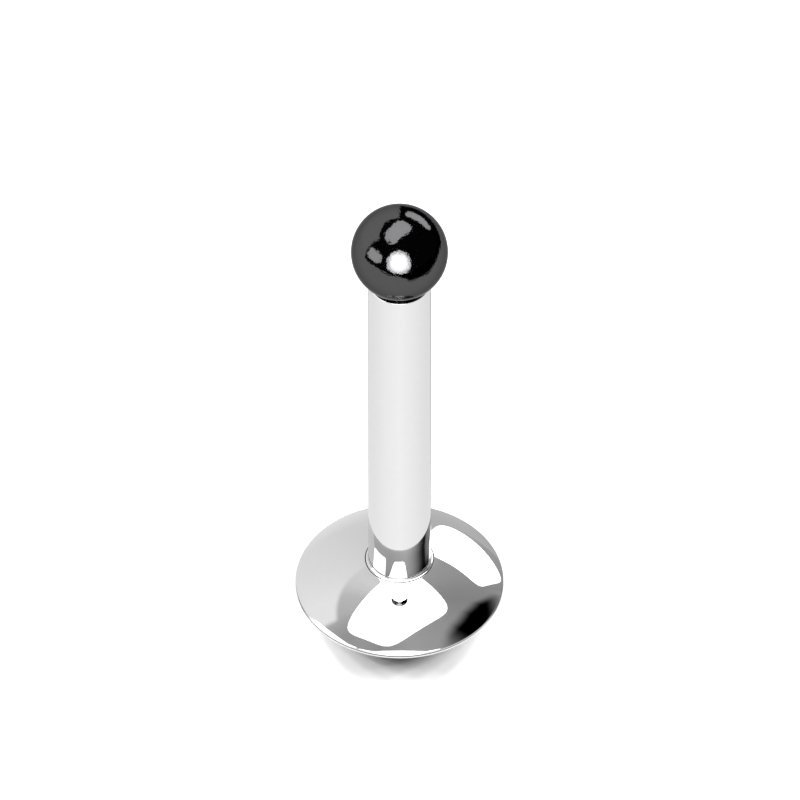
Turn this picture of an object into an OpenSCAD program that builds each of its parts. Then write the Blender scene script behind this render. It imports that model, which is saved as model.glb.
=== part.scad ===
// Flat-backed labret stud: a domed disc, a post with a thread cut inside it, and a ball
// that is screwed on by a threaded pin. Sizes are millimetres and +Z is up. The origin is
// the middle of the face that the stud stands on.

/* [Base disc] */
// Diameter of the disc
disc_d = 3.96; // [3.6:0.02:5.4]
// Radius of the sphere that the upper face is cut from
dome_r = 3.2; // [2.9:0.1:5]
// Height of the straight band round the rim
rim_band = 0.075; // [0.05:0.005:0.3]
// Height of the rim's lower edge above the face that it stands on
rim_lift = 0.1; // [0.04:0.01:0.3]
// Radius of the rim's two edges
rim_round = 0.02; // [0.01:0.005:0.04]
// Diameter of the flat land that it stands on
land_d = 2.8; // [1.6:0.1:3.4]

/* [Post] */
// Diameter of the post
post_d = 1.2; // [1.1:0.02:1.6]
// Length of the post from the dome to the rim
post_l = 7.57; // [5:0.01:14]
// Radius of the concave flare at the foot
foot_flare = 0.046; // [0.02:0.002:0.12]
// Depth to which the foot is let into the dome
foot_seat = 0.04; // [0.02:0.01:0.1]
// Amount by which the foot's edge narrows downwards in its seat
foot_taper = 0.02; // [0.01:0.005:0.04]
// Diameter of the spigot under the foot
spigot_d = 0.8; // [0.5:0.05:1.1]
// Length of the spigot under the foot
spigot_l = 0.4; // [0.2:0.02:0.46]
// Width of the bevel on the spigot's end
spigot_bevel = 0.05; // [0.02:0.01:0.12]
// Width of the bevel round the rim
bevel_w = 0.035; // [0.02:0.005:0.08]
// Height of the bevel round the rim
bevel_h = 0.12; // [0.05:0.01:0.3]
// Diameter of the plain mouth above the inner thread
mouth_d = 0.84; // [0.8:0.01:0.94]
// Depth of the plain mouth above the inner thread
mouth_l = 0.12; // [0.06:0.01:0.3]
// Turns of inner thread below the pin's own
spare_turns = 1; // [1:1:3]
// Length of plain hole below the inner thread
hole_tail = 0.12; // [0.05:0.01:0.4]

/* [Ball] */
// Diameter of the ball
ball_d = 1.846; // [1.6:0.02:3]
// Diameter of the small pit in the ball's side
pit_d = 0.15; // [0.08:0.01:0.24]
// Depth of the pit
pit_l = 0.07; // [0.03:0.01:0.15]
// Angle between the pit and the pin
pit_angle = 50; // [44:1:120]
// Direction of the pit round the ball, from +X
pit_turn = 90; // [0:5:355]

/* [Threaded pin] */
// Diameter over the thread
thread_d = 0.75; // [0.72:0.005:0.76]
// Depth of the thread
thread_h = 0.045; // [0.03:0.0025:0.06]
// Rise of the thread in one turn
thread_pitch = 0.26; // [0.2:0.01:0.32]
// Number of turns of thread
thread_turns = 4.5; // [3:0.25:8]
// Part of the pitch that is flat crest
crest_share = 0.52; // [0.4:0.02:0.56]
// Part of the pitch that each sloping side takes
side_share = 0.1; // [0.06:0.01:0.12]
// Part of a turn over which the thread rises from the core at each end
fade_share = 0.25; // [0.1:0.05:0.5]
// Length of the rounded nose
nose_l = 0.2; // [0.08:0.01:0.36]
// Diameter of the plain neck that is held in the ball
neck_d = 0.58; // [0.4:0.02:0.6]
// Length of the neck
neck_l = 0.8; // [0.4:0.02:1.1]
// Height of the relief between the ball and the thread
relief_l = 0.04; // [0.02:0.01:0.1]

/* [Fits] */
// Gap between the post and the disc
foot_gap = 0.015; // [0.01:0.005:0.03]
// Gap between the ball and the edge of the mouth that it sits on
ball_gap = 0.01; // [0.005:0.005:0.03]
// Gap between the neck and the ball
neck_gap = 0.015; // [0.01:0.005:0.03]
// Gap between the pin's thread and the post's thread
thread_gap = 0.016; // [0.014:0.001:0.02]
// Least gap below the pin's nose
nose_gap = 0.1; // [0.05:0.01:0.3]

/* [Hidden] */
$fn = 96;

steel = [0.80, 0.81, 0.82];
black = [0.09, 0.09, 0.10];

// Sides of the round core in the threads, and points along a small rounded corner
sides = 32;
round_steps = 4;
// Rings of the rounded nose, and how far round its quarter ellipse the last one lies
nose_steps = 5;
nose_turn = 78;
// Bit by which a cut passes the face that it opens
over = 0.05;

// Radii
disc_r = disc_d / 2;
land_r = land_d / 2;
post_r = post_d / 2;
foot_r = post_r + foot_flare;
spigot_r = spigot_d / 2;
mouth_r = mouth_d / 2;
ball_r = ball_d / 2;
neck_r = neck_d / 2;
thread_r = thread_d / 2;
core_r = thread_r - thread_h;

// Dome: its middle, and where it meets the rim's upper round, which it touches smoothly
rim_top = rim_lift + rim_band;
round_reach = dome_r - rim_round;
dome_z = rim_top - sqrt(pow(round_reach, 2) - pow(disc_r - rim_round, 2));
meet_r = (disc_r - rim_round) * dome_r / round_reach;
meet_z = dome_z + (rim_top - dome_z) * dome_r / round_reach;
meet_angle = atan2(meet_z - dome_z, meet_r);
function dome_height(r) = dome_z + sqrt(pow(dome_r, 2) - pow(r, 2));

// Foot of the post in the disc
seat_r = foot_r + foot_gap;
seat_z = dome_height(seat_r) - foot_seat;
seat_cut = dome_height(0) - seat_z + over;
foot_z = seat_z + foot_gap;
foot_top = dome_height(foot_r);
spigot_z = foot_z - spigot_l;

// Heights of the post's rim and of the ball's middle
rim_z = foot_top + post_l;
ball_z = rim_z + sqrt(pow(ball_r + ball_gap, 2) - pow(mouth_r, 2));

// Thread on the pin: from the middle of the rib's lower end up to the relief
crest_w = crest_share * thread_pitch;
side_w = side_share * thread_pitch;
rib_half = crest_w / 2 + side_w;
end_land = thread_pitch / sides;
relief_z = ball_z - sqrt(pow(ball_r, 2) - pow(core_r, 2)) - relief_l;
pin_steps = round(thread_turns * sides);
rib_z = relief_z - end_land - rib_half - thread_pitch * pin_steps / sides;
nose_z = rib_z - rib_half - end_land;
tip_z = nose_z - nose_l;
neck_top = relief_z + neck_l;

// Thread in the post: the same helix, begun whole turns lower and run out past the rim
tap_z = rib_z - spare_turns * thread_pitch;
tap_low = tap_z - rib_half - thread_gap - end_land;
tap_steps = ceil((rim_z + thread_pitch - tap_z) / thread_pitch * sides);
tap_top = tap_z + thread_pitch * tap_steps / sides + rib_half + thread_gap + end_land;
hole_z = min(tap_low - hole_tail, tip_z - nose_gap);

// Points of an arc in a section, counted from angle a0 to angle a1
function arc(x, z, r, a0, a1, steps) =
    [for (i = [0:steps]) let (a = a0 + (a1 - a0) * i / steps) [x + r * cos(a), z + r * sin(a)]];

// Two triangles of a patch with corners a, b, c, d
function patch(a, b, c, d) = [[a, b, c], [a, c, d]];

// A right-handed rib wound round a core, whose middle starts at angle 0 and height z.
// The rib has four edges along it: two at its root and two at its crest, gap further out
// on every side. Plain rings, [radius, height], close it: the list low runs from the rib
// to the lower end, and high is the one ring of the upper end.
module wound_rib(z, steps, gap, low, high) {
    root = core_r + gap;
    edge_z = [-rib_half - gap, -crest_w / 2 - gap, crest_w / 2 + gap, rib_half + gap];
    edge_h = [0, thread_h, thread_h, 0];
    edges = len(edge_z);
    top_edge = edges - 1;
    fade_steps = fade_share * sides;

    function turned(r, step, height) =
        [r * cos(360 * step / sides), r * sin(360 * step / sides), height];
    function fade(step) = min(1, step / fade_steps, (steps - step) / fade_steps);
    function rib_id(step, edge) = step * edges + edge;
    low_id = (steps + 1) * edges;
    high_id = low_id + len(low) * sides;
    function low_ring(ring, step) = low_id + ring * sides + step % sides;
    function high_ring(step) = high_id + step % sides;

    rib_points = [for (s = [0:steps], e = [0:top_edge])
        turned(root + edge_h[e] * fade(s), s, z + thread_pitch * s / sides + edge_z[e])];
    ring_points = [for (ring = concat(low, [high]), s = [0:sides - 1]) turned(ring[0], s, ring[1])];

    // The rib itself, and the core between one turn of it and the next
    rib_faces = [for (s = [0:steps - 1], e = [0:top_edge - 1])
        each patch(rib_id(s, e), rib_id(s, e + 1), rib_id(s + 1, e + 1), rib_id(s + 1, e))];
    core_faces = [for (s = [0:steps - sides - 1]) let (up = s + sides)
        each patch(rib_id(s, top_edge), rib_id(up, 0), rib_id(up + 1, 0), rib_id(s + 1, top_edge))];
    // The core below the first turn, with the seam where the rib begins
    foot_faces = [for (s = [0:sides - 2])
        each patch(low_ring(0, s), rib_id(s, 0), rib_id(s + 1, 0), low_ring(0, s + 1))];
    foot_seam = concat(
        [low_ring(0, sides - 1), rib_id(sides - 1, 0), rib_id(sides, 0)],
        [for (e = [top_edge:-1:0]) rib_id(0, e)],
        [low_ring(0, 0)]);
    // The core above the last turn, with the seam where the rib ends
    first = steps - sides;
    head_faces = [for (s = [first + 1:steps - 1])
        each patch(rib_id(s, top_edge), high_ring(s), high_ring(s + 1), rib_id(s + 1, top_edge))];
    head_seam = concat(
        [rib_id(first + 1, top_edge), rib_id(first, top_edge)],
        [for (e = [0:top_edge]) rib_id(steps, e)],
        [high_ring(first), high_ring(first + 1)]);
    // The walls between the plain rings, and the two flat ends
    low_faces = [for (ring = [1:1:len(low) - 1], s = [0:sides - 1]) let (up = ring - 1)
        each patch(low_ring(ring, s), low_ring(up, s), low_ring(up, s + 1), low_ring(ring, s + 1))];
    ends = [
        [for (s = [0:sides - 1]) low_ring(len(low) - 1, s)],
        [for (s = [sides - 1:-1:0]) high_ring(s)]];

    polyhedron(
        points = concat(rib_points, ring_points),
        faces = concat(rib_faces, core_faces, foot_faces, [foot_seam], head_faces, [head_seam],
            low_faces, ends),
        convexity = 10);
}

// Half section of the disc without its seat: land, shallow cone, banded rim and dome
module disc_section() {
    polygon(concat(
        [[0, 0], [land_r, 0]],
        arc(disc_r - rim_round, rim_lift + rim_round, rim_round, -90, 0, round_steps),
        arc(disc_r - rim_round, rim_top, rim_round, 0, meet_angle, round_steps),
        [[0, meet_z]]));
    intersection() {
        translate([0, dome_z])
            circle(r = dome_r);
        translate([0, rim_lift + rim_round])
            square([meet_r, dome_r]);
    }
}

// Half section of the post without its hole: spigot, flared foot, shaft and bevelled rim
module post_section() {
    polygon(concat(
        [[0, spigot_z], [spigot_r - spigot_bevel, spigot_z], [spigot_r, spigot_z + spigot_bevel]],
        [[spigot_r, foot_z], [foot_r - foot_taper, foot_z]],
        arc(foot_r, foot_top + foot_flare, foot_flare, -90, -180, round_steps),
        [[post_r, rim_z - bevel_h], [post_r - bevel_w, rim_z], [0, rim_z]]));
}

// Polished disc with a tapered seat for the post's foot and a blind socket for its spigot
module base_disc() {
    color(steel)
    difference() {
        rotate_extrude()
            disc_section();
        translate([0, 0, seat_z])
            cylinder(
                r1 = seat_r - foot_taper,
                r2 = seat_r + foot_taper * (seat_cut / foot_seat - 1),
                h = seat_cut);
        translate([0, 0, spigot_z - foot_gap])
            cylinder(r = spigot_r + foot_gap, h = seat_z - spigot_z + foot_gap + over);
    }
}

// Polished post with a plain mouth, a thread inside it and a blind end
module post() {
    color(steel)
    difference() {
        rotate_extrude()
            post_section();
        translate([0, 0, rim_z - mouth_l])
            cylinder(r = mouth_r, h = mouth_l + over);
        wound_rib(tap_z, tap_steps, thread_gap,
            low = [[core_r + thread_gap, tap_low], [core_r + thread_gap, hole_z]],
            high = [core_r + thread_gap, tap_top]);
    }
}

// Black ball with a blind bore for the pin's neck and a small pit in its side
module ball() {
    color(black)
    translate([0, 0, ball_z])
    difference() {
        sphere(r = ball_r);
        translate([0, 0, -ball_r - over])
            cylinder(r = neck_r + neck_gap, h = neck_top + neck_gap - ball_z + ball_r + over);
        rotate([0, 180 - pit_angle, pit_turn])
        translate([0, 0, ball_r - pit_l])
            cylinder(d = pit_d, h = pit_l + over);
    }
}

// Black pin: a plain neck, a thread of several turns and a nose rounded as a half ellipse
module threaded_pin() {
    nose = [for (i = [0:nose_steps]) let (a = nose_turn * i / nose_steps)
        [core_r * cos(a), nose_z - nose_l * sin(a) / sin(nose_turn)]];
    color(black) {
        wound_rib(rib_z, pin_steps, 0, low = nose, high = [core_r, relief_z]);
        translate([0, 0, relief_z - over])
            cylinder(r = neck_r, h = neck_l + over);
    }
}

base_disc();
post();
ball();
threaded_pin();
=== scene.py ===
"""Looks of the labret stud: a polished steel disc and post, and a black coated ball and screw pin.

Sizes in the classes are millimetres, as in the part's source, and each mesh is put into metres
as it is made. +Z is up, the stud stands on z = 0, and the camera looks towards +Y.
"""

import logging
import math
from collections.abc import Sequence
from dataclasses import dataclass, field
from enum import Enum

import bmesh
import bpy
import numpy as np
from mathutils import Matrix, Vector


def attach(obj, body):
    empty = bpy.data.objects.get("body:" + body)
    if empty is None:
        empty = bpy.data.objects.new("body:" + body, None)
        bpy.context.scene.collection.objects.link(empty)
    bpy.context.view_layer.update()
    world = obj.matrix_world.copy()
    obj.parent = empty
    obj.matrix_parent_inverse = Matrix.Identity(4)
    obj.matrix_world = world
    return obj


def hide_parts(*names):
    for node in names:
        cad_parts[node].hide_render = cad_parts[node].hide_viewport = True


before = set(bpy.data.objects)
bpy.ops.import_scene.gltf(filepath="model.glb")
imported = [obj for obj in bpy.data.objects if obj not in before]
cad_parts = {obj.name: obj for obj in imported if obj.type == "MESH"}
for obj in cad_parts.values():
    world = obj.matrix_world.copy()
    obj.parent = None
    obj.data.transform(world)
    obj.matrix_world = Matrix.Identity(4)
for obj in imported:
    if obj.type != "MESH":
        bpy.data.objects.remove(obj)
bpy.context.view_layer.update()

MM = 0.001
# Points closer than this, in metres, become one: a hundredth of a micrometre
WELD = 1e-8
# More turns than a threaded hole has, so that its groove runs out of both its ends
NO_END = 99
log = logging.getLogger("labret_stud")


class Body(Enum):
    """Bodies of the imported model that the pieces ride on."""

    BASE = "base"
    BALL = "ball"
    PIN = "pin"


class Slot(Enum):
    """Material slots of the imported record."""

    STEEL = "polished_steel"
    BLACK = "black_coat"


class Watcher(Enum):
    """Who sees a thing of the studio: the camera, or only the reflections in some of the pieces."""

    CAMERA = "camera"
    DISC = "disc"
    POST = "post"
    STEEL = "steel"
    BLACK = "black"

    def circle(self) -> bpy.types.Collection:
        """Collection of the pieces that see the thing, made when it is first asked for."""
        name = f"seen_by_{self.value}"
        return bpy.data.collections.get(name) or bpy.data.collections.new(name)


def linear(hex_colour: str) -> tuple[float, float, float, float]:
    """Turns an sRGB colour such as "#C8C8C4" into linear light.

    Args:
        hex_colour: Six hex digits after a hash.

    Returns:
        Red, green, blue and an alpha of one.
    """
    shares = [int(hex_colour[i:i + 2], 16) / 255 for i in (1, 3, 5)]
    red, green, blue = [s / 12.92 if s <= 0.04045 else ((s + 0.055) / 1.055) ** 2.4 for s in shares]
    return red, green, blue, 1.0


def smooth_step(value: np.ndarray, low: float, high: float) -> np.ndarray:
    """Eases from 0 at low to 1 at high, as 3t^2 - 2t^3."""
    share = np.clip((value - low) / (high - low), 0, 1)
    return share * share * (3 - 2 * share)


def add_node(tree: bpy.types.NodeTree, kind: str, inputs: dict | None = None,
             **settings: object) -> bpy.types.Node:
    """Adds a node to a tree with its settings, its values and its links.

    Args:
        tree: Tree that the node goes into.
        kind: Blender's name for the kind of node.
        inputs: For each input, a socket to link it to or a value to set.
        settings: The node's own settings.

    Returns:
        The node.
    """
    made = tree.nodes.new(kind)
    for name, value in settings.items():
        setattr(made, name, value)
    for key, value in (inputs or {}).items():
        if isinstance(value, bpy.types.NodeSocket):
            tree.links.new(value, made.inputs[key])
        else:
            made.inputs[key].default_value = value
    return made


def blank_material(name: str) -> bpy.types.Material:
    """Makes a material whose tree of nodes is empty."""
    made = bpy.data.materials.new(name)
    made.use_nodes = True
    made.node_tree.nodes.clear()
    return made


def eased(corners: Sequence[tuple[float, float, float]], steps: int = 5,
          hold: float = 0.004) -> np.ndarray:
    """Draws a path of straight runs whose corners are rounded by arcs.

    Each corner is a radius from the axis, a height and a rounding. The arc of a rounded corner
    touches both runs. A long run gets a point just inside each end, which holds its shading flat.

    Args:
        corners: Corners of the path in order.
        steps: Points along each arc, less one.
        hold: Distance of a holding point from the end of its run.

    Returns:
        Points of the path, one row each.
    """
    spots = np.array([corner[:2] for corner in corners], float)
    knots = []
    for i, (radius, height, rounding) in enumerate(corners):
        here = np.array([radius, height])
        if not rounding or i in (0, len(corners) - 1):
            knots.append(here[None])
            continue
        back, ahead = spots[i - 1] - here, spots[i + 1] - here
        back, ahead = back / np.linalg.norm(back), ahead / np.linalg.norm(ahead)
        between = math.acos(np.clip(back @ ahead, -1, 1))
        reach = rounding / math.tan(between / 2)
        inward = (back + ahead) / np.linalg.norm(back + ahead)
        middle = here + inward * rounding / math.sin(between / 2)
        start, end = here + back * reach - middle, here + ahead * reach - middle
        sweep = math.pi - between
        share = np.linspace(0, 1, steps + 1)[:, None]
        knots.append(middle + (np.sin((1 - share) * sweep) * start + np.sin(share * sweep) * end)
                     / math.sin(sweep))
    path = np.concatenate(knots)
    run = np.diff(path, axis=0)
    length = np.linalg.norm(run, axis=1, keepdims=True)
    inset = np.minimum(hold / np.maximum(length, hold), 0.1)
    near, far = path[:-1] + run * inset, path[1:] - run * inset
    long = (length[:, 0] > 10 * hold)
    filled = np.stack([path[:-1], np.where(long[:, None], near, path[:-1]),
                       np.where(long[:, None], far, path[:-1])], axis=1).reshape(-1, 2)
    return np.concatenate([filled, path[-1:]])


def arc(middle: tuple[float, float], radius: float, start: float, end: float,
        steps: int) -> list[tuple[float, float, float]]:
    """Lists points of a circle's arc, from one angle in degrees to another, as unrounded corners."""
    turn = np.radians(np.linspace(start, end, steps + 1))
    return [(middle[0] + radius * math.cos(t), middle[1] + radius * math.sin(t), 0.0) for t in turn]


def revolved(path: np.ndarray, turn: np.ndarray) -> np.ndarray:
    """Turns a path about the Z axis: the point at angle t is (r cos t, r sin t, z).

    Args:
        path: Radius and height of each point.
        turn: Angles of the columns in radians.

    Returns:
        Grid of points, a row for each point of the path.
    """
    radius, height = path[:, 0, None], path[:, 1, None]
    return np.stack(np.broadcast_arrays(radius * np.cos(turn), radius * np.sin(turn), height), axis=-1)


def even_turn(columns: int) -> np.ndarray:
    """Gives evenly spaced angles all the way round."""
    return np.arange(columns) * 2 * np.pi / columns


def crowded(low: float, high: float, middle: float, reach: float, coarse: float,
            fine: float) -> np.ndarray:
    """Spaces numbers coarsely from low to high, and finely within reach of a middle."""
    parts = [(low, middle - reach, coarse), (middle - reach, middle + reach, fine),
             (middle + reach, high, coarse)]
    runs = [np.linspace(a, b, max(2, round((b - a) / step) + 1))[:-1] for a, b, step in parts if b > a]
    return np.concatenate([*runs, [high]])


@dataclass
class Surface:
    """Closed surface that is put together from grids whose last column joins their first one."""

    points: list[np.ndarray] = field(default_factory=list)
    faces: list[np.ndarray] = field(default_factory=list)
    count: int = 0

    def add(self, grid: np.ndarray, shift: int = 0) -> None:
        """Adds a grid of points, rows by columns.

        Args:
            grid: Points in millimetres.
            shift: Rows by which the last column lies below the first one that it joins.
        """
        rows, columns = grid.shape[:2]
        row, column = np.meshgrid(np.arange(rows - 1 - shift), np.arange(columns), indexing="ij")
        ahead = (column + 1) % columns
        lift = np.where(column == columns - 1, shift, 0)
        corners = [row * columns + column, (row + lift) * columns + ahead,
                   (row + lift + 1) * columns + ahead, (row + 1) * columns + column]
        self.faces.append(np.stack(corners, axis=-1).reshape(-1, 4) + self.count)
        self.points.append(grid.reshape(-1, 3))
        self.count += rows * columns

    def piece(self, name: str) -> bpy.types.Object:
        """Makes the object: points that fall together are merged, which closes seams and poles."""
        mesh = bpy.data.meshes.new(name)
        mesh.from_pydata(np.concatenate(self.points) * MM, [], np.concatenate(self.faces).tolist())
        work = bmesh.new()
        work.from_mesh(mesh)
        bmesh.ops.remove_doubles(work, verts=work.verts, dist=WELD)
        bmesh.ops.recalc_face_normals(work, faces=work.faces)
        still_open = sum(not edge.is_manifold for edge in work.edges)
        work.to_mesh(mesh)
        work.free()
        mesh.polygons.foreach_set("use_smooth", np.ones(len(mesh.polygons), bool))
        made = bpy.data.objects.new(name, mesh)
        bpy.context.scene.collection.objects.link(made)
        triangles = sum(len(face.vertices) - 2 for face in mesh.polygons)
        log.info("%s: %d triangles, %d open edges", name, triangles, still_open)
        return made


@dataclass(frozen=True)
class PolishedSteel:
    """316L stainless steel, turned and then buffed to a mirror.

    It gives the eye sharp reflections with faintly soft edges, hair-fine rings left by the buff,
    and a slight waviness that keeps a straight edge in a reflection from being ruler-straight.
    """

    name: str = "buffed_316L_steel"
    colour: str = "#CFCFCF"
    worn_colour: str = "#CBCBCB"
    roughness: tuple[float, float] = (0.02, 0.045)
    ring_mm: float = 0.03
    ring_rise_mm: float = 0.00001
    wave_mm: float = 0.45
    wave_rise_mm: float = 0.00015
    haze_mm: float = 0.16
    # Range of the mixed noise over which the roughness goes from its lowest to its highest
    dull_range: tuple[float, float] = (0.12, 0.45)
    rings_about_axis: bool = True
    # Lower and upper edge of a fine line of painted shade, and how far from the axis it begins; no
    # line if both are 0
    shade_line_mm: tuple[float, float] = (0.0, 0.0)
    shade_line_past_mm: float = 1.96
    shade_line_colour: str = "#505050"

    def material(self) -> bpy.types.Material:
        """Builds the material; rings run round the stud, at heights or at distances from its axis."""
        made = blank_material(self.name)
        tree = made.node_tree
        place = add_node(tree, "ShaderNodeTexCoord").outputs["Object"]
        parts = add_node(tree, "ShaderNodeSeparateXYZ", {"Vector": place})
        flat = add_node(tree, "ShaderNodeVectorMath", {0: place, 1: (1, 1, 0)}, operation="MULTIPLY")
        away = add_node(tree, "ShaderNodeVectorMath", {0: flat.outputs[0]}, operation="LENGTH")
        along = away.outputs["Value"] if self.rings_about_axis else parts.outputs["Z"]
        # Rings of the buff: real ones are about 0.01 mm apart, drawn here as wide as a pixel or two
        rings = add_node(tree, "ShaderNodeTexNoise", {
            "W": along, "Scale": 1 / (self.ring_mm * MM), "Detail": 3.0, "Roughness": 0.6},
            noise_dimensions="1D")
        waves = add_node(tree, "ShaderNodeTexNoise", {
            "Vector": place, "Scale": 1 / (self.wave_mm * MM), "Detail": 2.0, "Roughness": 0.4})
        haze = add_node(tree, "ShaderNodeTexNoise", {
            "Vector": place, "Scale": 1 / (self.haze_mm * MM), "Detail": 4.0, "Roughness": 0.65})
        tint = add_node(tree, "ShaderNodeMix", {
            0: haze.outputs[0], 6: linear(self.colour), 7: linear(self.worn_colour)}, data_type="RGBA")
        colour = tint.outputs[2]
        mixed = add_node(tree, "ShaderNodeMath", {
            0: rings.outputs[0], 1: haze.outputs[0]}, operation="MULTIPLY")
        if self.shade_line_mm[1]:
            # Painted shade: a fine dark line in the colour under the band's upper edge
            past = add_node(tree, "ShaderNodeMath", {
                0: away.outputs["Value"], 1: self.shade_line_past_mm * MM}, operation="GREATER_THAN")
            above = add_node(tree, "ShaderNodeMath", {
                0: parts.outputs["Z"], 1: self.shade_line_mm[0] * MM}, operation="GREATER_THAN")
            below = add_node(tree, "ShaderNodeMath", {
                0: parts.outputs["Z"], 1: self.shade_line_mm[1] * MM}, operation="LESS_THAN")
            both = add_node(tree, "ShaderNodeMath", {
                0: above.outputs[0], 1: below.outputs[0]}, operation="MULTIPLY")
            shade_line_mask = add_node(tree, "ShaderNodeMath", {
                0: both.outputs[0], 1: past.outputs[0]}, operation="MULTIPLY")
            colour = add_node(tree, "ShaderNodeMix", {
                0: shade_line_mask.outputs[0], 6: colour, 7: linear(self.shade_line_colour)},
                data_type="RGBA").outputs[2]
        dull = add_node(tree, "ShaderNodeMapRange", {
            "Value": mixed.outputs[0], "From Min": self.dull_range[0],
            "From Max": self.dull_range[1], "To Min": self.roughness[0],
            "To Max": self.roughness[1]})
        wavy = add_node(tree, "ShaderNodeBump", {
            "Strength": 1.0, "Distance": self.wave_rise_mm * MM, "Height": waves.outputs[0]})
        ringed = add_node(tree, "ShaderNodeBump", {
            "Strength": 1.0, "Distance": self.ring_rise_mm * MM, "Height": rings.outputs[0],
            "Normal": wavy.outputs[0]})
        shader = add_node(tree, "ShaderNodeBsdfPrincipled", {
            "Base Color": colour, "Metallic": 1.0, "Roughness": dull.outputs[0],
            "Normal": ringed.outputs[0]})
        add_node(tree, "ShaderNodeOutputMaterial", {"Surface": shader.outputs[0]})
        return made


@dataclass(frozen=True)
class BlackCoat:
    """Black vapour-deposited coat, a few micrometres thick, on polished steel.

    It gives the eye a near-black mirror: lamps show in it as dim grey shapes with soft edges, and
    its very fine grain spreads the brightest of them into a small glow.
    """

    name: str = "black_vapour_coat"
    colour: str = "#535354"
    thin_colour: str = "#585859"
    edge_colour: str = "#B4B4B4"
    roughness: tuple[float, float] = (0.05, 0.08)
    # Range of the grain over which the roughness goes from its lowest to its highest
    dull_range: tuple[float, float] = (0.3, 0.7)
    grain_mm: float = 0.03
    grain_rise_mm: float = 0.00002
    wave_mm: float = 0.09
    wave_rise_mm: float = 0.004

    def material(self) -> bpy.types.Material:
        """Builds the material from a fine grain and the slight waves of the tumbled steel below."""
        made = blank_material(self.name)
        tree = made.node_tree
        place = add_node(tree, "ShaderNodeTexCoord").outputs["Object"]
        # The coat's real grain is under a micrometre, so it is drawn as wide as two pixels
        grain = add_node(tree, "ShaderNodeTexNoise", {
            "Vector": place, "Scale": 1 / (self.grain_mm * MM), "Detail": 3.0, "Roughness": 0.6})
        waves = add_node(tree, "ShaderNodeTexNoise", {
            "Vector": place, "Scale": 1 / (self.wave_mm * MM), "Detail": 2.0, "Roughness": 0.5})
        tint = add_node(tree, "ShaderNodeMix", {
            0: waves.outputs[0], 6: linear(self.colour), 7: linear(self.thin_colour)},
            data_type="RGBA")
        dull = add_node(tree, "ShaderNodeMapRange", {
            "Value": grain.outputs[0], "From Min": self.dull_range[0],
            "From Max": self.dull_range[1], "To Min": self.roughness[0],
            "To Max": self.roughness[1]})
        wavy = add_node(tree, "ShaderNodeBump", {
            "Strength": 1.0, "Distance": self.wave_rise_mm * MM, "Height": waves.outputs[0]})
        grained = add_node(tree, "ShaderNodeBump", {
            "Strength": 1.0, "Distance": self.grain_rise_mm * MM, "Height": grain.outputs[0],
            "Normal": wavy.outputs[0]})
        shader = add_node(tree, "ShaderNodeBsdfPrincipled", {
            "Base Color": tint.outputs[2], "Metallic": 1.0, "Roughness": dull.outputs[0],
            "Specular Tint": linear(self.edge_colour), "Normal": grained.outputs[0]})
        add_node(tree, "ShaderNodeOutputMaterial", {"Surface": shader.outputs[0]})
        return made


@dataclass(frozen=True)
class LampCloth:
    """White cloth of the lamps and tents: it gives the eye each point's own even light."""

    name: str = "lamp_cloth"

    def material(self) -> bpy.types.Material:
        """Builds the material: light as strong as each point's glow, and clear to what lies behind."""
        made = blank_material(self.name)
        made.cycles.emission_sampling = "NONE"
        tree = made.node_tree
        glow = add_node(tree, "ShaderNodeAttribute", attribute_name="glow")
        light = add_node(tree, "ShaderNodeEmission", {"Strength": glow.outputs["Fac"]})
        clear = add_node(tree, "ShaderNodeBsdfTransparent")
        both = add_node(tree, "ShaderNodeAddShader", {0: light.outputs[0], 1: clear.outputs[0]})
        add_node(tree, "ShaderNodeOutputMaterial", {"Surface": both.outputs[0]})
        return made


@dataclass(frozen=True)
class MattCard:
    """Matt white card: it gives the eye a plain floor with a very faint grain."""

    name: str = "matt_white_card"
    colour: str = "#E6E6E6"
    bright_colour: str = "#EAEAEA"
    grain_mm: float = 0.2
    roughness: float = 0.9

    def material(self) -> bpy.types.Material:
        """Builds the material, which has no gloss."""
        made = blank_material(self.name)
        tree = made.node_tree
        place = add_node(tree, "ShaderNodeTexCoord").outputs["Object"]
        grain = add_node(tree, "ShaderNodeTexNoise", {
            "Vector": place, "Scale": 1 / (self.grain_mm * MM)})
        tint = add_node(tree, "ShaderNodeMix", {
            0: grain.outputs[0], 6: linear(self.colour), 7: linear(self.bright_colour)},
            data_type="RGBA")
        shader = add_node(tree, "ShaderNodeBsdfPrincipled", {
            "Base Color": tint.outputs[2], "Roughness": self.roughness, "Specular IOR Level": 0.0})
        add_node(tree, "ShaderNodeOutputMaterial", {"Surface": shader.outputs[0]})
        return made


def dressed(piece: bpy.types.Object, material: bpy.types.Material, body: Body,
            watchers: Sequence[Watcher], shades_floor: bool = False) -> None:
    """Gives a piece its material and its body, and hides the CAD node of its name.

    Args:
        piece: Piece, named for its CAD node with "_finished" after it.
        material: Its material.
        body: Body that it rides on.
        watchers: Kinds of watcher that it is, which choose the lamps that show in it.
        shades_floor: Whether the distant lamps throw its shadow.
    """
    piece.data.materials.append(material)
    # Hidden from diffuse rays, so that the mirrors throw no bright patches on the floor
    piece.visible_diffuse, piece.visible_shadow = False, shades_floor
    for watcher in watchers:
        watcher.circle().objects.link(piece)
    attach(piece, body.value)
    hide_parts(piece.name.removesuffix("_finished"))


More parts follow.
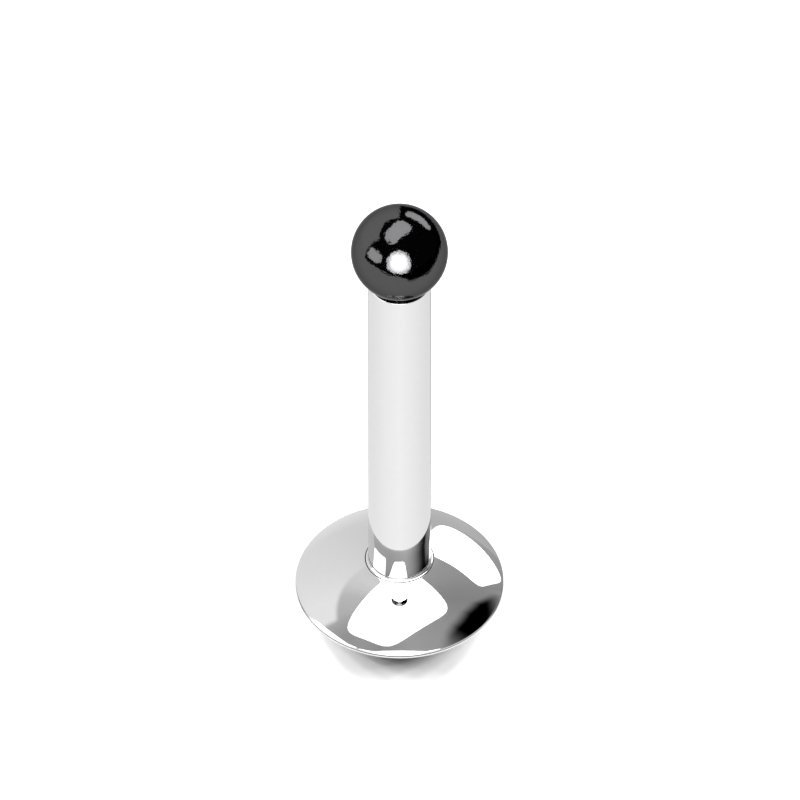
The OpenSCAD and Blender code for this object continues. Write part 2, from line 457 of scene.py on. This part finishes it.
@dataclass(frozen=True)
class Thread:
    """Helical thread, of which the pin has the rib and the post has the groove."""

    pitch: float = 0.26
    core_r: float = 0.33
    rise: float = 0.045
    crest_share: float = 0.52
    side_share: float = 0.1
    fade_share: float = 0.25
    edge: float = 0.005

    def section(self, away: np.ndarray, gap: float) -> np.ndarray:
        """Height of the rib, 0 to 1, at a distance from its middle: the mean of nine shifted ramps."""
        foot = (self.crest_share / 2 + self.side_share) * self.pitch + gap
        shifts = np.linspace(-self.edge, self.edge, 9)[:, None, None]
        return np.clip((foot - away[None] - shifts) / (self.side_share * self.pitch), 0, 1).mean(0)

    def wall(self, start: float, turns: float, low: float, high: float, gap: float,
             turn: np.ndarray) -> tuple[np.ndarray, int]:
        """Winds the wall between two heights, with rows that follow the helix.

        Row v lies at z = start + pitch (v + t / 2 pi) for angle t, held between low and high, and
        its radius is core + gap + rise times the section at the distance from the nearest turn.

        Args:
            start: Height of the rib's middle at angle 0, where its first turn begins.
            turns: Number of turns.
            low: Height of the wall's lower edge.
            high: Height of its upper edge.
            gap: Distance by which the wall lies outside the pin's own.
            turn: Angles of the columns.

        Returns:
            Grid of points, and the rows in one pitch, by which its seam is shifted.
        """
        crest = self.crest_share * self.pitch / 2 + gap
        foot = crest + self.side_share * self.pitch
        half = self.pitch / 2
        # Rows at the rib's middle and quarters, and close round the edges of its crest and foot
        offset = np.array([-1, -0.4, 0.4, 1]) * self.edge
        side = np.concatenate([[crest / 2], crest + offset, foot + offset])
        section_rows = np.unique(np.concatenate([[-half, 0], -side, side])) / self.pitch
        first = math.floor((low - start) / self.pitch) - 2
        last = math.ceil((high - start) / self.pitch) + 2
        rows = (np.arange(first, last + 1)[:, None] + section_rows).ravel()
        share = turn / (2 * np.pi)
        height = np.clip(start + self.pitch * (rows[:, None] + share), low, high)
        place = (height - start) / self.pitch - share
        nearest = np.round(place)
        wound = nearest + share
        fade = smooth_step(np.minimum(wound, turns - wound), 0, self.fade_share)
        radius = self.core_r + gap + self.rise * fade * self.section(
            np.abs(place - nearest) * self.pitch, gap)
        grid = np.stack([radius * np.cos(turn), radius * np.sin(turn), height], axis=-1)
        return grid, len(section_rows)


@dataclass(frozen=True)
class StudSizes:
    """Sizes that more than one piece needs, worked out as the part's source does."""

    dome_r: float = 3.2
    disc_r: float = 1.98
    rim_lift: float = 0.1
    rim_band: float = 0.075
    rim_round: float = 0.02
    post_r: float = 0.6
    post_l: float = 7.57
    foot_flare: float = 0.046
    foot_seat: float = 0.04
    foot_taper: float = 0.02
    foot_gap: float = 0.015
    spigot_r: float = 0.4
    spigot_l: float = 0.4
    mouth_r: float = 0.42
    mouth_l: float = 0.12
    ball_r: float = 0.923
    ball_gap: float = 0.01
    relief_l: float = 0.04
    neck_r: float = 0.29
    neck_l: float = 0.8
    neck_gap: float = 0.015
    thread_gap: float = 0.016
    turns: float = 4.5
    spare_turns: float = 1
    nose_l: float = 0.2
    nose_gap: float = 0.1
    hole_tail: float = 0.12
    thread: Thread = Thread()

    @property
    def end_land(self) -> float:
        """Plain length between each end of the thread and what it ends at."""
        return self.thread.pitch / 32

    @property
    def rim_top(self) -> float:
        """Height of the upper edge of the disc's band."""
        return self.rim_lift + self.rim_band

    @property
    def dome_z(self) -> float:
        """Height of the middle of the dome's sphere."""
        reach = self.dome_r - self.rim_round
        return self.rim_top - math.sqrt(reach ** 2 - (self.disc_r - self.rim_round) ** 2)

    def dome_height(self, radius: float) -> float:
        """Height of the dome at a distance from the axis."""
        return self.dome_z + math.sqrt(self.dome_r ** 2 - radius ** 2)

    @property
    def foot_r(self) -> float:
        """Radius of the post's foot."""
        return self.post_r + self.foot_flare

    @property
    def foot_top(self) -> float:
        """Height at which the foot's flare begins."""
        return self.dome_height(self.foot_r)

    @property
    def seat_r(self) -> float:
        """Radius of the seat's edge in the dome."""
        return self.foot_r + self.foot_gap

    @property
    def seat_z(self) -> float:
        """Height of the seat's floor."""
        return self.dome_height(self.seat_r) - self.foot_seat

    @property
    def spigot_z(self) -> float:
        """Height of the spigot's end."""
        return self.seat_z + self.foot_gap - self.spigot_l

    @property
    def rim_z(self) -> float:
        """Height of the post's upper end."""
        return self.foot_top + self.post_l

    @property
    def ball_z(self) -> float:
        """Height of the ball's middle."""
        return self.rim_z + math.sqrt((self.ball_r + self.ball_gap) ** 2 - self.mouth_r ** 2)

    @property
    def relief_z(self) -> float:
        """Height of the shoulder between the pin's thread and its neck."""
        return self.ball_z - math.sqrt(self.ball_r ** 2 - self.thread.core_r ** 2) - self.relief_l

    @property
    def neck_top(self) -> float:
        """Height of the neck's end in the ball."""
        return self.relief_z + self.neck_l

    @property
    def rib_half(self) -> float:
        """Half of the rib's width at its root."""
        return (self.thread.crest_share / 2 + self.thread.side_share) * self.thread.pitch

    @property
    def rib_z(self) -> float:
        """Height of the middle of the rib's lower end."""
        return self.relief_z - self.end_land - self.rib_half - self.thread.pitch * self.turns

    @property
    def nose_z(self) -> float:
        """Height at which the pin's nose begins."""
        return self.rib_z - self.rib_half - self.end_land

    @property
    def tap_z(self) -> float:
        """Height of the middle of the groove's lower end in the post."""
        return self.rib_z - self.spare_turns * self.thread.pitch

    @property
    def tap_low(self) -> float:
        """Height of the lower end of the post's inner thread."""
        return self.tap_z - self.rib_half - self.thread_gap - self.end_land

    @property
    def hole_z(self) -> float:
        """Height of the blind end of the post's hole."""
        return min(self.tap_low - self.hole_tail, self.nose_z - self.nose_l - self.nose_gap)


@dataclass(frozen=True)
class BaseDisc:
    """Domed disc that the stud stands on, with a tapered seat and a blind socket for the post."""

    sizes: StudSizes
    steel: PolishedSteel
    land_r: float = 1.4
    columns: int = 288
    dome_steps: int = 56
    name: str = "base_disc_finished"

    def build(self) -> bpy.types.Object:
        """Turns the section: land, shallow cone, banded rim, dome, seat and socket.

        The third number of each corner is its rounding.
        """
        s = self.sizes
        reach = s.disc_r - s.rim_round
        meet = math.degrees(math.atan2(s.rim_top - s.dome_z, reach))
        edge = math.degrees(math.acos(s.seat_r / s.dome_r))
        socket_r, socket_z = s.spigot_r + s.foot_gap, s.spigot_z - s.foot_gap
        section = [
            (0, 0, 0), (self.land_r, 0, 0.03),
            *arc((reach, s.rim_lift + s.rim_round), s.rim_round, -87, 0, 6),
            *arc((reach, s.rim_top), s.rim_round, 0, meet, 5),
            *arc((0, s.dome_z), s.dome_r, meet, edge - 0.2, self.dome_steps)[1:],
            (s.seat_r, s.seat_z + s.foot_seat, 0.004),
            (s.seat_r - s.foot_taper, s.seat_z, 0.004),
            (socket_r, s.seat_z, 0.01), (socket_r, socket_z, 0.02), (0, socket_z, 0)]
        surface = Surface()
        surface.add(revolved(eased(section), even_turn(self.columns)))
        return surface.piece(self.name)

    def dress(self, piece: bpy.types.Object) -> None:
        """Gives the disc its buffed steel and its place on the base."""
        dressed(piece, self.steel.material(), Body.BASE,
                (Watcher.STEEL, Watcher.DISC), shades_floor=True)


@dataclass(frozen=True)
class Post:
    """Shaft with a flared foot, a bevelled upper rim and a threaded blind hole."""

    sizes: StudSizes
    steel: PolishedSteel
    spigot_bevel: float = 0.05
    bevel_w: float = 0.035
    bevel_h: float = 0.12
    columns: int = 192
    name: str = "post_finished"

    def build(self) -> bpy.types.Object:
        """Turns the outside, the mouth and the hole's end, and winds the inner thread between."""
        s = self.sizes
        turn = even_turn(self.columns)
        foot_z = s.seat_z + s.foot_gap
        floor_z = s.rim_z - s.mouth_l
        outside = [
            (0, s.spigot_z, 0), (s.spigot_r - self.spigot_bevel, s.spigot_z, 0.01),
            (s.spigot_r, s.spigot_z + self.spigot_bevel, 0.01), (s.spigot_r, foot_z, 0.01),
            (s.foot_r - s.foot_taper, foot_z, 0.004), (s.foot_r, s.foot_top, 0.003),
            *arc((s.foot_r, s.foot_top + s.foot_flare), s.foot_flare, -94, -180, 10),
            (s.post_r, s.rim_z - self.bevel_h, 0.03),
            (s.post_r - self.bevel_w, s.rim_z, 0.012),
            (s.mouth_r, s.rim_z, 0.005), (s.mouth_r, floor_z, 0)]
        wall, shift = s.thread.wall(s.tap_z, NO_END, s.tap_low, floor_z, s.thread_gap, turn)
        hole_r = s.thread.core_r + s.thread_gap
        end = [(hole_r, s.tap_low, 0), (hole_r, s.hole_z, 0.03), (0, s.hole_z, 0)]
        surface = Surface()
        surface.add(revolved(eased(outside), turn))
        surface.add(np.concatenate([wall[-1:], revolved(np.array([[s.mouth_r, floor_z]]), turn)]))
        surface.add(wall, shift)
        surface.add(revolved(eased(end), turn))
        return surface.piece(self.name)

    def dress(self, piece: bpy.types.Object) -> None:
        """Gives the post its buffed steel, with rings round it, and its place on the base."""
        dressed(piece, self.steel.material(), Body.BASE, (Watcher.STEEL, Watcher.POST))


@dataclass(frozen=True)
class Ball:
    """Black ball with a blind bore for the pin's neck and a small pit in its side."""

    sizes: StudSizes
    coat: BlackCoat
    pit_r: float = 0.075
    pit_l: float = 0.07
    pit_angle: float = 50
    pit_turn: float = 90
    # How far the pit's rounded edge reaches inwards and outwards, in degrees
    pit_edge: tuple[float, float] = (0.5, 0.4)
    name: str = "ball_finished"

    def build(self) -> bpy.types.Object:
        """Turns the bore and the sphere about the pin's axis, and sinks the pit into the sphere.

        Within the pit's half angle the distance from the middle goes from the ball's radius to
        (radius - depth) / cos(a), a flat floor, where a is the angle from the pit's axis.
        """
        s = self.sizes
        turn = np.radians(crowded(0, 360, self.pit_turn, 9, 1.5, 0.45)[:-1])
        bore_r, bore_z = s.neck_r + s.neck_gap, s.neck_top + s.neck_gap
        edge = math.degrees(math.asin(bore_r / s.ball_r))
        edge_z = s.ball_z - s.ball_r * math.cos(math.radians(edge))
        bore = eased([(0, bore_z, 0), (bore_r, bore_z, 0.01), (bore_r, edge_z, 0.008),
                      *arc((0, s.ball_z), s.ball_r, edge - 88, edge - 87.5, 1)])
        from_pin = np.radians(crowded(edge + 3, 180, self.pit_angle, 7, 1.5, 0.35))
        sphere = revolved(np.stack([
            s.ball_r * np.sin(from_pin), s.ball_z - s.ball_r * np.cos(from_pin)], axis=1), turn)
        middle = np.array([0, 0, s.ball_z])
        tilt, around = math.radians(self.pit_angle), math.radians(self.pit_turn)
        axis = np.array([math.sin(tilt) * math.cos(around), math.sin(tilt) * math.sin(around),
                         -math.cos(tilt)])
        outward = (sphere - middle) / s.ball_r
        cosine = np.clip(outward @ axis, -1, 1)
        away = np.degrees(np.arccos(cosine))
        half = math.degrees(math.asin(self.pit_r / s.ball_r))
        sunk = 1 - smooth_step(away, half - self.pit_edge[0], half + self.pit_edge[1])
        floor_r = (s.ball_r - self.pit_l) / np.maximum(cosine, 0.9)
        radius = s.ball_r + (floor_r - s.ball_r) * sunk
        surface = Surface()
        surface.add(np.concatenate([revolved(bore, turn), middle + outward * radius[..., None]]))
        return surface.piece(self.name)

    def dress(self, piece: bpy.types.Object) -> None:
        """Gives the ball its black coat and its place on its own body."""
        dressed(piece, self.coat.material(), Body.BALL, (Watcher.BLACK,))


@dataclass(frozen=True)
class ThreadedPin:
    """Black screw pin: a rounded nose, a thread of several turns and a plain neck."""

    sizes: StudSizes
    coat: BlackCoat
    nose_turn: float = 78
    columns: int = 160
    name: str = "threaded_pin_finished"

    def build(self) -> bpy.types.Object:
        """Turns the nose, a part of an ellipse, and the neck, and winds the thread between."""
        s = self.sizes
        turn = even_turn(self.columns)
        swing = np.radians(np.linspace(self.nose_turn, 0, 15))
        full = math.sin(math.radians(self.nose_turn))
        tip_z = s.nose_z - s.nose_l
        nose = [(0, tip_z, 0), *[
            (s.thread.core_r * math.cos(a), s.nose_z - s.nose_l * math.sin(a) / full, 0)
            for a in swing]]
        neck = [(s.thread.core_r, s.relief_z, 0.006), (s.neck_r, s.relief_z, 0.006),
                (s.neck_r, s.neck_top, 0.03), (0, s.neck_top, 0)]
        wall, shift = s.thread.wall(s.rib_z, s.turns, s.nose_z, s.relief_z, 0, turn)
        surface = Surface()
        surface.add(revolved(eased(nose), turn))
        surface.add(wall, shift)
        surface.add(revolved(eased(neck), turn))
        return surface.piece(self.name)

    def dress(self, piece: bpy.types.Object) -> None:
        """Gives the pin its black coat and its place on its own body."""
        dressed(piece, self.coat.material(), Body.PIN, (Watcher.BLACK,))


def toward(azimuth: np.ndarray, elevation: np.ndarray) -> np.ndarray:
    """Unit directions. Azimuth 0 is the camera's side, and it grows towards +X; both in degrees."""
    a, e = np.radians(azimuth), np.radians(elevation)
    return np.stack([np.sin(a) * np.cos(e), -np.cos(a) * np.cos(e), np.sin(e)], axis=-1)


Table = tuple[tuple[float, ...], tuple[float, ...]]


@dataclass(frozen=True)
class Softbox:
    """Lamp face with rounded corners, given by the directions of its corners from the stud.

    Its edge has edge_share of the glow of its middle. The higher its squareness, the sharper its
    corners: 2 is an ellipse.
    """

    name: str
    seen: Watcher
    glow: float
    corners: tuple[tuple[float, float], ...]
    edge_share: float = 0.8
    squareness: float = 7


@dataclass(frozen=True)
class Studio:
    """White floor, tents, softboxes and distant lamps. Nothing here is part of the stud.

    The tents and the softboxes show only in the stud's reflections. The steel and the black ball
    have their own, because they were lit and exposed apart. Distant lamps at the sides and behind
    light the floor that the camera sees, so that the disc's shadow falls forwards.
    """

    steel_tent_r: float = 431
    black_tent_r: float = 430
    box_r: float = 400
    floor_r: float = 6000
    near_floor_r: float = 2.35
    boxes: tuple[Softbox, ...] = (
        Softbox("overhead_box", Watcher.STEEL, 3.6,
                ((-76.2, 50.5), (-12.9, 60), (97, 55.6), (175, 57.8)), squareness=5.2),
        Softbox("overhead_in_post", Watcher.POST, 3.6,
                ((-77, 47), (-10, 47), (99, 47), (180, 47))),
        Softbox("back_right_box", Watcher.STEEL, 3.8,
                ((168, 41), (168, 0), (132, 11), (124, 33)), squareness=6),
        Softbox("front_box", Watcher.STEEL, 5,
                ((-40, 30), (-17, 0), (17, 0), (28, 30))),
        Softbox("front_header", Watcher.STEEL, 2.6,
                ((-47, 49.6), (-46, 38), (46, 38), (47, 49.6)), edge_share=1, squareness=30),
        Softbox("left_box", Watcher.STEEL, 2.6,
                ((-101, 33), (-97, 0), (-47, 0), (-49, 50.3)), edge_share=1, squareness=14),
        Softbox("overhead_in_black", Watcher.BLACK, 2.9,
                ((-87, 54.5), (-27, 59), (121, 55.5), (178, 51)), edge_share=0.9, squareness=5),
        Softbox("back_right_in_black", Watcher.BLACK, 3.0,
                ((171, 39), (169, 14), (128, 12), (122, 27)), edge_share=0.9, squareness=4),
        Softbox("left_in_black", Watcher.BLACK, 2.7,
                ((-85, 26), (-81, 1), (-46, 6), (-44, 28)), edge_share=0.9, squareness=4),
        Softbox("front_in_black", Watcher.BLACK, 15,
                ((-34, 45), (-29, -6), (26, -6), (30, 46)), edge_share=0.15, squareness=2.4),
    )
    # The tables below go by direction. First the light of the floor round the post
    round_post: Table = (
        (-180, -160, -152, -139, -122, -97, -51, 0, 51, 97, 122, 139, 147, 155, 180),
        (0.5, 0.6, 0.85, 1.04, 1.11, 1.21, 1.34, 1.42, 1.32, 1.18, 1.09, 1.02, 0.7, 0.5, 0.5))
    # Light of the floor and of the low part of the tent round the disc
    round_disc: Table = (
        (-180, -150, -100, -95, -47, -28, 20, 35, 50, 67, 76, 86, 96, 104, 120, 135, 150, 180),
        (0.95, 1.07, 1.2, 0.85, 0.8, 0.78, 0.9, 0.76, 0.56, 0.27, 0.12, 0.02, 0.02, 0.3,
         0.42, 0.6, 0.67, 0.67))
    # Light of the steel tent's grey part
    grey: Table = (
        (-180, -141, -128, -115, -96, -83, -70, -48, -27, 17, 46, 78, 113, 124, 136, 150, 165, 180),
        (0.9, 1.0, 0.93, 0.77, 0.7, 0.57, 0.47, 0.5, 0.42, 0.54, 0.5, 0.46, 0.37, 0.4, 0.46,
         0.5, 0.67, 0.67))
    # Light of the steel tent's pale wall, behind on the left
    wall: Table = (
        (-180, -165, -150, -130, -110, -95, -88, -86),
        (0.95, 0.98, 1.07, 1.16, 1.25, 1.25, 1.2, 1.2))
    # Elevation of the upper edge of the steel tent's black part, which is on the right
    black_below: Table = (
        (40, 52, 68, 81, 100, 111, 121, 127, 131),
        (52, 57, 59, 58, 52, 44, 28, 12, -9))
    # Distance at which the floor that the black ball shows ends. Past the tent it has no end
    black_floor: Table = (
        (-180, -96, -90, -85, -58, -22, 22, 67, 95, 119, 157, 180),
        (6000, 6000, 6000, 75, 110, 48, 18, 20, 40, 40, 80, 80))
    # Where one part of a tent goes over into the next, in degrees: azimuths of the black part's
    # start and of its end, depth of its upper edge, azimuths of the wall's edge, counted to the
    # left, elevations of its top, and azimuths and elevations of the low part
    black_start: tuple[float, float] = (42, 82)
    black_end: float = 131
    black_depth: float = 9
    wall_edge: tuple[float, float] = (87, 93)
    wall_top: tuple[float, float] = (47, 51)
    low_sides: tuple[float, float] = (-97, 125)
    low_top: tuple[float, float] = (14, 32)
    # The same edges of the pale wall in the black ball's tent, its light, and that of the rest
    wall_edge_in_black: tuple[float, float] = (87, 90)
    wall_top_in_black: tuple[float, float] = (45, 48)
    wall_in_black: float = 1.05
    rest_in_black: float = 0.01
    # The floor close to the disc: how much lighter it is than round the post, how much of that
    # is lost beside and behind the disc, from which azimuths, and the width of its outer edge
    near_gain: float = 1.2
    beside_loss: float = 0.75
    beside_edge: tuple[float, float] = (58, 75)
    near_edge: float = 0.1
    # Share of its distance by which the end of the black ball's floor is softened
    end_soft: float = 0.15
    # Azimuth and strength of the distant lamps on each side, then the lamp in front, all with
    # their elevation and width in degrees
    ring: Table = ((105, 112, 120, 135, 150), (4.4, 2.2, 8.6, 8.1, 9.0))
    ring_elevation: float = 7
    ring_width: float = 8
    front_lamp: tuple[float, float, float, float] = (0, 25, 20, 0.5)
    backdrop_glow: float = 1.1

    def shown(self, name: str, grid: np.ndarray, glow: np.ndarray, material: bpy.types.Material,
              seen: Watcher) -> None:
        """Makes a thing of the studio from a grid of points that glow.

        Args:
            name: Name of the object.
            grid: Points in millimetres, rows by columns; the columns close round.
            glow: Light that each point gives off.
            material: Its material.
            seen: Who sees it.
        """
        rows, columns = grid.shape[:2]
        row, column = np.meshgrid(np.arange(rows - 1), np.arange(columns), indexing="ij")
        ahead = (column + 1) % columns
        faces = np.stack([row * columns + column, row * columns + ahead,
                          (row + 1) * columns + ahead, (row + 1) * columns + column], axis=-1)
        mesh = bpy.data.meshes.new(name)
        mesh.from_pydata(grid.reshape(-1, 3) * MM, [], faces.reshape(-1, 4).tolist())
        mesh.attributes.new("glow", "FLOAT", "POINT").data.foreach_set(
            "value", np.broadcast_to(glow, grid.shape[:2]).astype(np.float32).ravel())
        mesh.materials.append(material)
        made = bpy.data.objects.new(name, mesh)
        bpy.context.scene.collection.objects.link(made)
        reflected = seen is not Watcher.CAMERA
        made.visible_camera = made.visible_diffuse = not reflected
        made.visible_glossy = reflected
        made.visible_shadow = made.visible_transmission = made.visible_volume_scatter = False
        if reflected:
            made.light_linking.receiver_collection = seen.circle()

    def steel_glow(self, azimuth: np.ndarray, elevation: np.ndarray) -> np.ndarray:
        """Light of the steel's tent: grey, pale behind on the left, black on the right."""
        sky = np.interp(azimuth, *self.grey)
        highest = np.interp(azimuth, *self.black_below)
        side = smooth_step(azimuth, *self.black_start) * (azimuth < self.black_end)
        sky = sky * (1 - side * smooth_step(highest - elevation, 0, self.black_depth))
        pale = smooth_step(-azimuth, *self.wall_edge) * (1 - smooth_step(elevation, *self.wall_top))
        sky = sky * (1 - pale) + np.interp(azimuth, *self.wall) * pale
        left, right = self.low_sides
        low = (1 - smooth_step(elevation, *self.low_top)) * (azimuth > left) * (azimuth < right)
        return sky * (1 - low) + np.interp(azimuth, *self.round_disc) * low

    def black_glow(self, azimuth: np.ndarray, elevation: np.ndarray) -> np.ndarray:
        """Light of the black ball's tent: black, and pale behind on the left."""
        pale = smooth_step(-azimuth, *self.wall_edge_in_black)
        pale = pale * (1 - smooth_step(elevation, *self.wall_top_in_black))
        return self.rest_in_black + self.wall_in_black * pale

    def tents(self, cloth: bpy.types.Material) -> None:
        """Hangs both tents, half spheres of directions on the floor."""
        azimuth = np.linspace(-180, 180, 481)[:-1]
        elevation = np.linspace(0, 90, 121)[:, None]
        ways = toward(*np.broadcast_arrays(azimuth, elevation))
        self.shown("steel_tent", ways * self.steel_tent_r, self.steel_glow(azimuth, elevation),
                   cloth, Watcher.STEEL)
        self.shown("black_tent", ways * self.black_tent_r, self.black_glow(azimuth, elevation),
                   cloth, Watcher.BLACK)

    def softbox(self, box: Softbox, cloth: bpy.types.Material) -> None:
        """Hangs a softbox: rings from its middle to a squarish edge, laid between its four corners.

        A ring's point at angle t is (|cos t|^(2/n), |sin t|^(2/n)) with the signs of cos and sin,
        mixed between the corners' directions in both ways and set at the boxes' distance.
        """
        turn = even_turn(160)
        reach = np.linspace(0.001, 1, 24)[:, None]
        power = 2 / box.squareness
        across = reach * np.sign(np.cos(turn)) * np.abs(np.cos(turn)) ** power
        upward = reach * np.sign(np.sin(turn)) * np.abs(np.sin(turn)) ** power
        corners = toward(*np.array(box.corners).T)
        shares = [(1 - across) * (1 + upward), (1 - across) * (1 - upward),
                  (1 + across) * (1 - upward), (1 + across) * (1 + upward)]
        grid = sum(share[..., None] * corner for share, corner in zip(shares, corners))
        grid *= self.box_r / np.linalg.norm(grid, axis=-1, keepdims=True)
        glow = box.glow * (box.edge_share + (1 - box.edge_share) * (1 - reach ** 2))
        self.shown(box.name, grid, glow, cloth, box.seen)

    def floors(self, cloth: bpy.types.Material) -> None:
        """Lays the floor that the camera sees, and the glowing ones that the pieces reflect.

        The glowing ones lie a hundredth of a millimetre below each other.
        """
        azimuth = np.linspace(-180, 180, 361)[:-1]
        level = toward(azimuth, np.zeros_like(azimuth))
        wide = np.array([0.001, self.floor_r])[:, None]
        self.shown("floor", wide[..., None] * level, np.ones_like(wide), MattCard().material(),
                   Watcher.CAMERA)
        reach = np.concatenate([[0.001], np.geomspace(1, self.black_tent_r, 90)])[:, None]
        grid, below = reach[..., None] * level, np.array([0, 0, -0.01])
        near = np.interp(azimuth, *self.round_post)
        self.shown("floor_in_post", grid + below, near, cloth, Watcher.POST)
        far = smooth_step(reach, self.near_floor_r, self.near_floor_r + self.near_edge)
        beside = 1 - self.beside_loss * smooth_step(np.abs(azimuth), *self.beside_edge)
        close = self.near_gain * near * beside
        round_disc = close * (1 - far) + np.interp(azimuth, *self.round_disc) * far
        self.shown("floor_in_disc", grid + 2 * below, round_disc, cloth, Watcher.DISC)
        end = np.interp(azimuth, *self.black_floor)
        ended = smooth_step(reach, (1 - self.end_soft) * end, (1 + self.end_soft) * end)
        self.shown("floor_in_black", grid + 3 * below, 1 - ended, cloth, Watcher.BLACK)

    def lamps(self) -> None:
        """Sets the distant lamps that light the floor.

        A low ring of them at the sides and behind lights the floor white, so that a soft shadow is
        left only where most are hidden, just in front of the disc. One in front fills it a little.
        """
        ring = [(side * azimuth, self.ring_elevation, self.ring_width, strength)
                for azimuth, strength in zip(*self.ring) for side in (-1, 1)]
        for azimuth, elevation, width, strength in (self.front_lamp, *ring):
            lamp = bpy.data.lights.new("distant_lamp", "SUN")
            lamp.energy, lamp.angle = strength, math.radians(width)
            made = bpy.data.objects.new("distant_lamp", lamp)
            from_stud = Vector(toward(np.array(azimuth), np.array(elevation)))
            made.rotation_euler = from_stud.to_track_quat("Z", "Y").to_euler()
            made.visible_glossy = False
            bpy.context.scene.collection.objects.link(made)

    def backdrop(self) -> None:
        """Makes the world plain white, for the camera alone."""
        world = bpy.data.worlds.new("white_backdrop")
        bpy.context.scene.world = world
        world.use_nodes = True
        shader = world.node_tree.nodes["Background"]
        shader.inputs["Color"].default_value = (1, 1, 1, 1)
        shader.inputs["Strength"].default_value = self.backdrop_glow
        seen = world.cycles_visibility
        seen.diffuse = seen.glossy = seen.transmission = seen.scatter = False

    def build(self) -> None:
        """Builds the whole studio."""
        cloth = LampCloth().material()
        self.tents(cloth)
        for box in self.boxes:
            self.softbox(box, cloth)
        self.floors(cloth)
        self.lamps()
        self.backdrop()


@dataclass(frozen=True)
class PhotoCamera:
    """Camera with a very long lens, at the photograph's angle above the floor."""

    elevation: float = 46.4
    middle: tuple[float, float, float] = (0.0095, 0.0, 5.16)
    view_mm: float = 15.17
    lens_mm: float = 1500
    sensor_mm: float = 36

    def build(self) -> None:
        """Sets up the camera so that the photograph's frame is view_mm wide at the stud's middle."""
        data = bpy.data.cameras.new("photo_camera")
        data.lens, data.sensor_width = self.lens_mm, self.sensor_mm
        distance = self.view_mm * self.lens_mm / self.sensor_mm
        back = Vector(toward(np.array(0.0), np.array(self.elevation)))
        made = bpy.data.objects.new("photo_camera", data)
        made.location = (Vector(self.middle) + back * distance) * MM
        made.rotation_euler = back.to_track_quat("Z", "Y").to_euler()
        data.clip_start, data.clip_end = distance * MM * 0.5, distance * MM * 3
        bpy.context.scene.collection.objects.link(made)
        bpy.context.scene.camera = made


def main() -> None:
    """Builds the studio, the camera and the four pieces."""
    logging.basicConfig(level=logging.INFO, format="%(name)s: %(message)s")
    PhotoCamera().build()
    Studio().build()
    bpy.context.scene.view_settings.view_transform = "Standard"
    sizes = StudSizes()
    # The disc's steel has a fine line of painted shade under its band's upper edge
    about_axis = PolishedSteel(name="buffed_316L_disc_painted_shade_line", shade_line_mm=(0.143, 0.168))
    along_post = PolishedSteel(name="buffed_316L_post", rings_about_axis=False)
    coat = BlackCoat()
    pin_coat = BlackCoat(name="black_vapour_coat_on_thread", wave_rise_mm=0.0008)
    for part in (BaseDisc(sizes, about_axis), Post(sizes, along_post), Ball(sizes, coat),
                 ThreadedPin(sizes, pin_coat)):
        piece = part.build()
        part.dress(piece)
        log.info("%s is dressed", piece.name)


if __name__ == "__main__":
    main()
